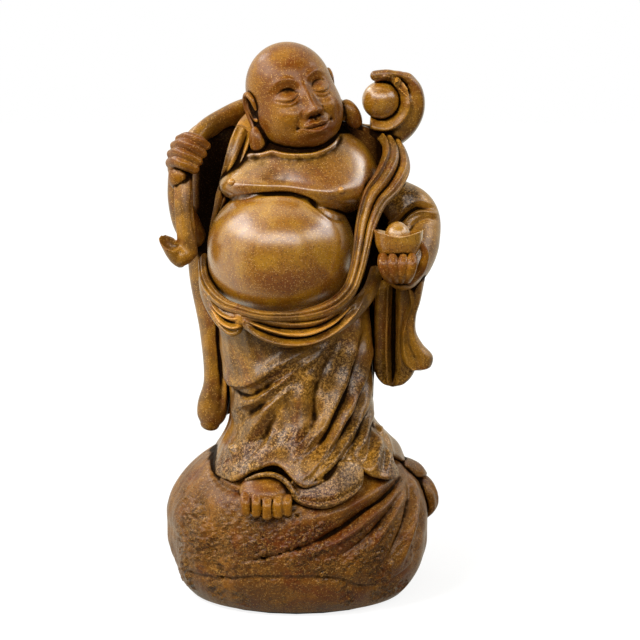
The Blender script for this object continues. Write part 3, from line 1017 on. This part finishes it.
# Hands. The right fist closes round the shaft; the left lies palm up with its fingers curled in
# front of the ingot. Each is cast by itself and pegged into its wrist.
FINGER_LINES = [
    [(-41.0, 164.2), (-37.6, 165.5), (-33.8, 164.6), (-31.2, 162.4)],
    [(-42.7, 161.9), (-39.8, 163.1), (-36.6, 162.4), (-32.6, 159.6)],
    [(-43.9, 159.0), (-41.2, 160.0), (-38.4, 159.2), (-34.1, 156.9)],
    [(-44.3, 155.9), (-41.9, 156.7), (-39.2, 156.0), (-35.4, 154.2)],
]
FINGER_DEPTHS = ((-7.4, 1.05), (-11.8, 1.1), (-14.0, 1.05), (-12.8, 0.95))
fingers = []
for line, size in zip(FINGER_LINES, (1.4, 1.5, 1.5, 1.6)):
    stops = [(x, y, z, size * grow) for (x, z), (y, grow) in zip(line, FINGER_DEPTHS)]
    fingers.append(digit(stops, 1.2))
palm = ball((-41.0, -5.4, WAIST + 54.0), (4.1, 7.0, 8.6), (0.1, 0.26, 0))
heel = ball((-40.8, -8.0, WAIST + 47.4), (4.3, 4.8, 5.2))
points, faces = fused([palm, heel, *fingers], 0.22, 1)
add_casting("right_hand", points, faces, wiped_bronze, "polished_bronze")

fingers = []
for low_x, high_x in ((32.2, 29.8), (34.2, 33.3), (36.2, 36.7), (38.2, 39.8)):
    stops = [
        (low_x, -24, 13.4, 1.7),
        (low_x, -28.6, 14, 1.8),
        (0.4 * low_x + 0.6 * high_x, -31.2, 16.6, 1.9),
        (high_x, -31.4, 19.4, 1.9),
        (high_x, -29.4, 21.4, 1.7),
    ]
    fingers.append(digit(placed(ABOVE_WAIST, stops)))
thumb = [(39.6, -24, 12.6, 1.8), (43, -25, 16.4, 1.7), (44.6, -25.6, 22, 1.4), (43, -26, 26, 1.1)]
thumb = digit(placed(ABOVE_WAIST, thumb))
palm = ball((35.6, -22.6, WAIST + 17), (6.2, 6.0, 4.4))
points, faces = fused([palm, thumb, *fingers], 0.24, 1)
add_casting("left_hand", points, faces, wiped_bronze, "polished_bronze")


# Ingot. A boat-shaped bar of gold with raised prows and a dome on its deck, of the same resin and
# buffed like the flesh. It is glued into the left hand.
INGOT = np.array([35.4, -25, WAIST + 20.6])
knots = [0, 0.12, 0.3, 0.55, 0.85, 1.0]
levels = [
    (0, 0.5, 0), (0.08, 0.7, 0.01), (0.45, 0.92, 0.06), (0.9, 1, 0.2), (1.08, 0.94, 0.2), (0.88, 0.62, 0.05),
]
share, size, prow = through(knots, levels, np.linspace(0, 1, 60)).T[..., None]
angles = ring_angles(96, 0, 0)
radius = oval(angles, (8.3 * size, 6 * size, 8.3 * size, 6 * size))
rise = 7.5 * (share + prow * np.cos(angles) ** 2)
hull = skin(round_axis(radius, angles, rise) + INGOT)
dome = ball(INGOT + np.array([-0.4, 0, 7.3]), (4.5, 4.5, 5.4))
points, faces = fused([hull, dome], 0.26, 3)
add_casting("ingot", points, faces, buffed_bronze, "polished_bronze")


# Left sleeve and its hanging cuff. The sleeve is stippled at the elbow and creased at the bend; two
# layers of the wide cuff fall from the forearm, the front one narrow at the knee and flared below.
# Three castings; the left hand is pegged into the sleeve.
stops = [
    (33, 5, 40, 7, 8), (40.5, 3, 32.5, 10, 9.5), (42.2, -2, 24, 8.8, 8.8), (40.5, -9, 17.5, 7.5, 7.4),
    (38.2, -15, 15, 6.6, 6.2), (36.8, -19, 14.2, 6.2, 5.6),
]
points, faces = skin(carried(placed(ABOVE_WAIST, stops), 150, 120, (0, -1, 0.4)))
folds = [
    (-2.8, 1.2, 0.35, [(35.4, 134.4), (37.4, 137), (39.9, 139.4), (42.9, 140.8), (48.4, 139.8)]),
    (1.3, 0.7, 0, [(36.6, 134.2), (38.4, 136), (41.3, 138.2), (45.6, 138.8), (50, 137.6)]),
    (-0.9, 0.8, 0, [(39.4, 132), (42, 135), (46, 136.4), (50, 135.4)]),
    (0.8, 2.2, 0, [(36, 143), (40, 145), (46, 144)]),
]
points = carved(points, faces, folds)
rough = 0.8 * smooth_step(138, 140, points[:, 2]) * smooth_step(-0.1, 0.4, swell(points, 13, 8))
caked = 0.5 * smooth_step(140, 130, points[:, 2]) * smooth_step(45, 41, points[:, 0]) - 0.16
add_casting("left_sleeve", points, faces, waxed_bronze, "antiqued_bronze", caked, tooled=rough)

inner = [
    (36.4, -14, 120), (38.6, -13, 112), (39.6, -12.4, 107), (38, -12, 101.6), (36.6, -11.6, 95),
    (36.8, -11, 91), (37.4, -10.6, 86.6), (39.6, -10.2, 83.4), (42.4, -10, 82.2),
]
outer = [
    (45.8, -13, 120), (44.8, -12.6, 114), (43.6, -12, 108), (42.2, -11.6, 102.6), (42.2, -11, 97),
    (44.8, -10.4, 92), (48.4, -9.6, 87.6), (47.8, -9.4, 84.2), (45.6, -9.6, 82.4),
]
folds = [(-0.8, 1.3, 0.2), (-0.2, -0.9, 0.26), (0.45, 1, 0.34)]
points, faces = skin(banded(inner, outer, 3.2, (0, -1, 0), folds, 160, 120, 12))
add_casting("left_cuff_front", points, faces, waxed_bronze, "antiqued_bronze", tooled=0.2)

inner = [
    (28.2, -5, 116), (27.8, -4.6, 104), (27.5, -4.2, 94), (27.4, -4, 86), (27.6, -3.8, 82), (29, -3.6, 78.6),
    (32.6, -3.4, 75.2),
]
outer = [
    (42.2, -5, 116), (42.2, -4.6, 104), (42.2, -4.2, 94), (42.5, -4, 87), (42.8, -3.8, 83), (41, -3.6, 79),
    (36.4, -3.4, 75.2),
]
folds = [(-0.86, 0.5, 0.14), (-0.4, 1.2, 0.1), (-0.06, -3.6, 0.2), (0.8, 0.7, 0.2)]
points, faces = skin(banded(inner, outer, 4.4, (0, -1, 0), folds, 160, 130, 14))
rough = 0.1 + 0.7 * smooth_step(92, 80, points[:, 2])
add_casting("left_cuff_back", points, faces, waxed_bronze, "antiqued_bronze", -0.32, tooled=rough)


# Right arm. The forearm stands up in a tight cuff behind the shaft, with the hand on its peg, and the
# long sleeve falls from it past the hip nearly to the sack. Two castings, glued to the robe.
stops = [
    (-37.5, 4.5, 25, 4.8, 5), (-40, 2.4, 31, 4.8, 5.2), (-42, 0.5, 39, 4, 4.4), (-42, -0.5, 46, 3.8, 4.2),
]
points, faces = skin(carried(placed(ABOVE_WAIST, stops), 80, 64, (0, -1, 0)))
add_casting("right_forearm", points, faces, waxed_bronze, "dark_bronze", 0.25)

stops = [
    (-26, 9, 60, 8, 6), (-30.5, 12, 50, 8.4, 6.6), (-32, 13, 32, 7.6, 6.4), (-32, 10, 12, 7.4, 6.4),
    (-29.5, 6, -10, 5.8, 6.4), (-29, 4.5, -28, 4.9, 6), (-30.6, 3, -37, 5.7, 4.6), (-31.4, 3, -41.4, 5, 3.8),
    (-31.8, 3, -43.6, 3.6, 3),
]
points, faces = skin(carried(placed(ABOVE_WAIST, stops), 240, 110, (0, -1, 0), 2.3))
folds = [
    (0.9, 0.5, 0, [(-26.6, 147), (-28.4, 138), (-30.4, 128), (-32.6, 120)]),
    (-1.4, 1.2, 0, [(-25.6, 146), (-27.4, 136), (-29.4, 126), (-31, 118)]),
    (0.8, 0.7, 0, [(-27.4, 100), (-26.8, 88), (-26, 76), (-26.4, 66)]),
    (-0.8, 0.8, 0, [(-28.4, 100), (-28, 88), (-27.4, 76), (-27.8, 66)]),
    (0.6, 2.6, 0, [(-32, 104), (-31.4, 86), (-32, 68)]),
]
points = carved(points, faces, folds)
caked = 0.75 * smooth_step(WAIST + 6, WAIST + 18, points[:, 2]) * smooth_step(-38, -33, points[:, 0])
add_casting("right_sleeve", points, faces, waxed_bronze, "dark_bronze", caked)


# Outer robe. The big garment over the back and both shoulders, open down the front; it hangs from the
# collar in deep folds to below the hips. One casting, glued behind the torso and left dark with wax.
ROBE_Y = 3.0
ROBE_LEVELS = WAIST + np.array([-40.0, -24, 0, 28, 46, 56, 61, 64.5, 66.5])
ROBE_SIZES = [
    (26.5, 27, 31.5, 30), (27.5, 26, 31, 30), (31, 26, 32, 30), (35, 25, 34, 30), (38, 24, 34, 26),
    (36, 22.5, 31, 20), (31, 20, 26.5, 17), (24, 16.5, 19, 13), (15, 12, 12, 9),
]
ROBE_STROKES = [
    (0.9, 2, 0, [(-22, 158), (-14, 146), (-2, 136), (8, 130)]),
    (-0.8, 1.2, 0, [(-24, 150), (-16, 139), (-4, 128), (6, 122)]),
    (0.9, 2, 0, [(6, 161), (14, 153), (22, 142), (28, 130)]),
    (-0.8, 1.2, 0, [(0, 160), (9, 150), (18, 138), (25, 126)]),
    (0.8, 1.8, 0, [(-27, 128), (-20, 112), (-14, 92), (-12, 70)]),
    (-0.7, 1, 0, [(12, 124), (15, 106), (14, 86), (11, 68)]),
]
columns = np.linspace(-0.04, 0.88, 300) * np.pi


def draped(level, inset):
    """Rows of the outer robe at the given levels, with folds that deepen as they fall."""
    sizes = through(ROBE_LEVELS, ROBE_SIZES, level)
    around = oval(columns, [sizes[..., k] for k in range(4)])
    hang = smooth_step(WAIST + 58, WAIST + 10, level) * smooth_step(-0.1, 0.4, np.sin(columns))
    wave = 9 * columns + 0.03 * (level - WAIST)
    radius = around + hang * (2 * np.cos(wave) + 0.5 * np.cos(2 * wave)) - inset
    return round_axis(radius, columns, level, ROBE_Y)


HALF_ROBE = 1.8
COLLAR = WAIST + 66.5
up = np.linspace(0, 1, 200)[:, None]
hem = WAIST - 40 + 2.2 * np.cos(5 * columns + 1)
rolled = np.linspace(0, np.pi, 7)[1:-1, None]
outer = draped(hem + (COLLAR - hem) * up, 0.0)
crest = draped(COLLAR + 1.5 * np.sin(rolled) + 0 * hem, HALF_ROBE * (1 - np.cos(rolled)))
inner = draped(hem + (COLLAR - hem) * up[::-1][::8], 2 * HALF_ROBE)
foot_edge = draped(hem - 1.5 * np.sin(rolled), HALF_ROBE * (1 + np.cos(rolled)))
points, faces = skin(np.concatenate([outer, crest, inner, foot_edge]).transpose(1, 0, 2))
points = carved(points, faces, ROBE_STROKES, side=1.0)
inside = smooth_step(0.1, -0.4, normals_of(points, faces)[:, 1])
add_casting("outer_robe", points, faces, dark_bronze, "dark_bronze", 0.5 * inside)


# The wax wash. The finished figurine is brushed with dark wax and wiped, so the wax stays where the
# surface is hollow and the gold shows where it is sharp. Each casting gets that as numbers at its
# points, found from how full of resin the space round each point is.
CELL = 0.75
MARGIN = 16
LARGEST = 2.4
every = np.concatenate([points[triangles(faces)] for _, points, faces, _ in castings])
# faces too large for one cell are cut in four, over and over
for _ in range(5):
    span = np.linalg.norm(np.cross(every[:, 1] - every[:, 0], every[:, 2] - every[:, 0]), axis=1)
    a, b, c = every[span > LARGEST].transpose(1, 0, 2)
    ab, bc, ca = (a + b) / 2, (b + c) / 2, (c + a) / 2
    quarters = [(a, ab, ca), (ab, b, bc), (ca, bc, c), (ab, bc, ca)]
    every = np.concatenate([every[span <= LARGEST], *[np.stack(part, 1) for part in quarters]])
# each face leaves its area and direction in its cell; the filled space is what they flow out of
low = every.min((0, 1)) - MARGIN
count = np.ceil((every.max((0, 1)) + MARGIN - low) / CELL / 8).astype(int) * 8
area = np.cross(every[:, 1] - every[:, 0], every[:, 2] - every[:, 0]) / 2
cell = np.ravel_multi_index(tuple(((every.mean(1) - low) / CELL).astype(int).T), count)
waves = [np.fft.fftfreq(count[0], CELL), np.fft.fftfreq(count[1], CELL), np.fft.rfftfreq(count[2], CELL)]
waves = np.meshgrid(*[2 * np.pi * wave for wave in waves], indexing="ij")
square = sum(wave**2 for wave in waves)
square[0, 0, 0] = 1
flow = 0
for axis, wave in enumerate(waves):
    splat = np.bincount(cell, area[:, axis], count.prod()).reshape(count) / CELL**3
    flow = flow + 1j * wave * np.fft.rfftn(splat)


def fullness(reach_mm):
    """How full of resin the surroundings of a place are, within about the given reach: 0 to 1."""
    field = np.fft.irfftn(flow / square * np.exp(-square * reach_mm**2 / 2), count)
    return field - field[0, 0, 0]


def sampled(field, points):
    """The field's value at points, read between the eight nearest cells."""
    place = (points - low) / CELL - 0.5
    base = place.astype(int)
    part = place - base
    total = 0
    for corner in np.ndindex(2, 2, 2):
        share = np.prod(np.where(corner, part, 1 - part), axis=1)
        total = total + share * field[tuple((base + corner).T)]
    return total


near, middling, far = fullness(0.9), fullness(2.2), fullness(6.0)
for mesh, points, faces, caked in castings:
    tris = triangles(faces)
    normals = normals_of(points, faces)
    edge = np.linalg.norm(points[tris[:, 0]] - points[tris[:, 1]], axis=1).mean()
    # bend is above 0 in a crease and below 0 on an edge
    bend = ((softened(points, tris, 1, 1.0) - points) * normals).sum(1) / edge**2
    bend = np.clip(softened(np.stack([bend] * 3, 1), tris, 3)[:, 0], -2, 2)
    tight, round_about, wide = (sampled(field, points) for field in (near, middling, far))
    hollow = 1.3 * (tight - 0.5) + 0.9 * (round_about - 0.5) + 0.5 * (wide - 0.4)
    add_field(mesh, "hollow", hollow + 0.3 * np.maximum(bend, 0) + 0.04 + caked)
    add_field(mesh, "worn", 1.6 * (round_about - tight) - 0.45 * np.minimum(bend, 0) - 0.06)


# Camera. It stands 700 mm off and looks down 9 degrees, with a long lens, as for the photograph;
# the numbers were fitted to the oval of the sack's foot.
AIM = np.array([8.3, 0, 99]) * MM
RISE = np.radians(9)
DISTANCE = 700 * MM
FOCAL_PIXELS, PICTURE_PIXELS, SENSOR = 1945, 640, 36
camera = bpy.data.cameras.new("camera")
camera.lens = FOCAL_PIXELS / PICTURE_PIXELS * SENSOR
camera.sensor_width = SENSOR
viewer = bpy.data.objects.new("camera", camera)
viewer.location = AIM + DISTANCE * np.array([0, -np.cos(RISE), np.sin(RISE)])
viewer.rotation_euler = (np.pi / 2 - RISE, 0, 0)
bpy.context.scene.collection.objects.link(viewer)
bpy.context.scene.camera = viewer
bpy.context.scene.view_settings.view_transform = "Standard"


# Stage. A pale floor under a light tent. The eye sees both white; the castings mirror the tent's
# pale left side and back and the floor below them, but the front is dark round the camera.
PALE_SIDE = (-0.4, 0.9, 0.0)


def seen_by(tree, diffuse, mirrored, eye):
    """A strength that differs for the light that falls on things, for mirror rays and for the eye."""
    ray = add_node(tree, "ShaderNodeLightPath").outputs
    inputs = {0: ray["Is Glossy Ray"], 1: ray["Is Transmission Ray"]}
    shiny = add_node(tree, "ShaderNodeMath", inputs, operation="MAXIMUM").outputs["Value"]
    strength = add_node(tree, "ShaderNodeMix", {0: shiny, 2: diffuse, 3: mirrored}).outputs[0]
    return add_node(tree, "ShaderNodeMix", {0: ray["Is Camera Ray"], 2: strength, 3: eye}).outputs[0]


def spread(tree, value, low, high, bottom, top):
    """A value between low and high, spread evenly from bottom to top."""
    inputs = {"Value": value, "From Min": low, "From Max": high, "To Min": bottom, "To Max": top}
    return add_node(tree, "ShaderNodeMapRange", inputs).outputs["Result"]


def tent_cloth(tree):
    """The warm white of the tent's cloth, and pure white to the eye."""
    eye = add_node(tree, "ShaderNodeLightPath").outputs["Is Camera Ray"]
    inputs = {"Factor": eye, 6: linear(0xFFFAE6), 7: (1, 1, 1, 1)}
    return add_node(tree, "ShaderNodeMix", inputs, data_type="RGBA").outputs[2]


def towards_pale_side(tree, place):
    """How far a place or direction lies towards the pale left side and back."""
    inputs = {0: place, 1: PALE_SIDE}
    return add_node(tree, "ShaderNodeVectorMath", inputs, operation="DOT_PRODUCT").outputs["Value"]


# Matt paper: it scatters the light evenly, and glows a little to the eye so that it reads as white
paper, tree, shader, place = new_material("matt_white_paper")
tree.links.new(seen_by(tree, 0.22, 0.03, 0.22), shader.inputs["Base Color"])
shader.inputs["Roughness"].default_value = 0.9
shader.inputs["Specular IOR Level"].default_value = 0.0
tree.links.new(tent_cloth(tree), shader.inputs["Emission Color"])
pale = spread(tree, towards_pale_side(tree, place), -120.0, 60.0, 0.03, 0.9)
away = add_node(tree, "ShaderNodeVectorMath", {0: place}, operation="LENGTH").outputs["Value"]
white = spread(tree, away, 150.0, 700.0, 0.85, 1.0)
tree.links.new(seen_by(tree, 0.0, pale, white), shader.inputs["Emission Strength"])
side = 3.0
mesh = bpy.data.meshes.new("floor")
mesh.from_pydata([(-side, -side, 0), (side, -side, 0), (side, side, 0), (-side, side, 0)], [], [(0, 1, 2, 3)])
mesh.materials.append(paper)
floor = bpy.data.objects.new("floor", mesh)
floor.location.z = -0.2 * MM
bpy.context.scene.collection.objects.link(floor)

world = bpy.data.worlds.new("light_tent")
bpy.context.scene.world = world
world.use_nodes = True
tree = world.node_tree
glow = tree.nodes["Background"].inputs
tree.links.new(tent_cloth(tree), glow["Color"])
direction = add_node(tree, "ShaderNodeTexCoord").outputs["Generated"]
pale = spread(tree, towards_pale_side(tree, direction), -0.36, -0.1, 0.03, 1.0)
tree.links.new(seen_by(tree, 0.28, pale, 1.0), glow["Strength"])


def softbox(name, place, width, height, power, aim=(0, 0, 0.12)):
    """A flat lamp that looks at a point of the figurine."""
    lamp = bpy.data.lights.new(name, "AREA")
    lamp.shape = "RECTANGLE"
    lamp.energy, lamp.size, lamp.size_y = power, width, height
    holder = bpy.data.objects.new(name, lamp)
    way = np.array(aim) - np.array(place)
    flat = np.hypot(way[0], way[1])
    holder.location = place
    holder.rotation_euler = (np.arctan2(flat, -way[2]), 0, np.arctan2(-way[0], way[1]))
    bpy.context.scene.collection.objects.link(holder)
    return holder


softbox("left_panel", (-0.75, 0.02, 0.72), 0.6, 0.45, 2.2)
softbox("left_wing", (-0.78, -0.42, 0.7), 0.5, 0.36, 1.8)
softbox("right_wing", (0.78, -0.42, 0.66), 0.5, 0.3, 1.3)
softbox("right_panel", (0.85, 0.02, 0.6), 0.45, 0.36, 1.2)
softbox("left_back_lamp", (-0.64, 0.54, 0.8), 0.26, 0.26, 1.2)
softbox("right_back_lamp", (0.83, 0.19, 0.8), 0.24, 0.24, 0.7)
softbox("front_strip", (-0.05, -0.88, 0.66), 1.4, 0.36, 5.2)
# a key light from the upper left, kept out of the reflections
softbox("key_light", (-0.5, -0.62, 0.85), 0.3, 0.3, 9.0, (0, 0, 0.1)).visible_glossy = False
